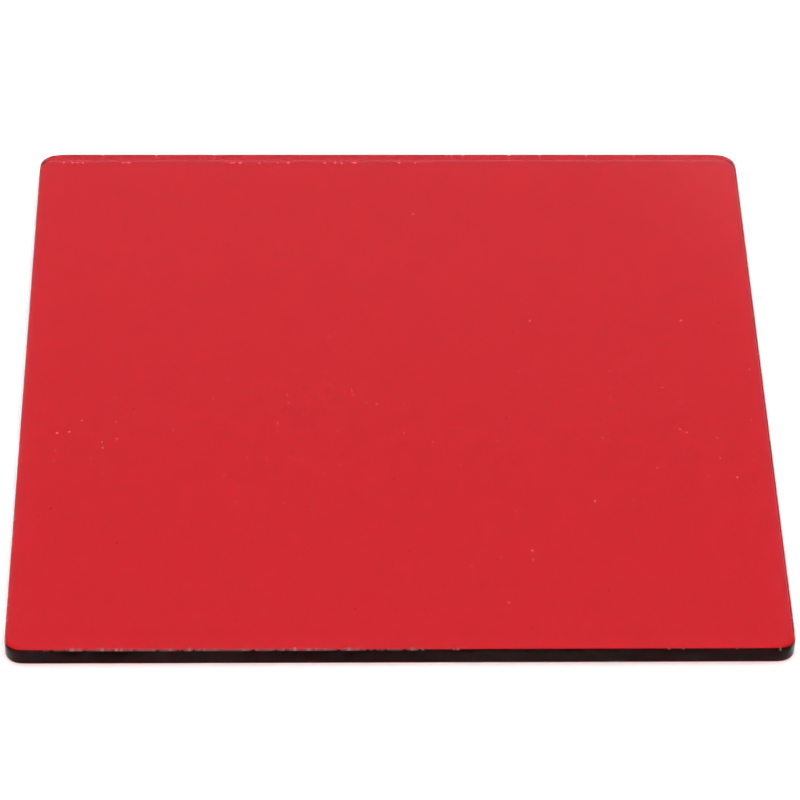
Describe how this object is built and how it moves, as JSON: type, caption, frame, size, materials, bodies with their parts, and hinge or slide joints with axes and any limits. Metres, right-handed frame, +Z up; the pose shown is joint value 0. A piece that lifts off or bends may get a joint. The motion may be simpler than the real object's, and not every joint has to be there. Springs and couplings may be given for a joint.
{
  "type": "darkroom safelight filter",
  "caption": "Square red filter plate with rounded corners, a single dyed acrylic sheet that drops into a darkroom lamp's filter channel.",
  "frame": {"origin": "middle of the lower face, the one that the plate lies on", "axes": "+Z up through the thickness, +X to the right along the front edge, +Y towards the rear edge"},
  "size_m": [0.127, 0.127, 0.003],
  "materials": {
    "red_acrylic": "polished"
  },
  "bodies": {
    "root": {"filter_plate": "red_acrylic"}
  },
  "joints": []
}
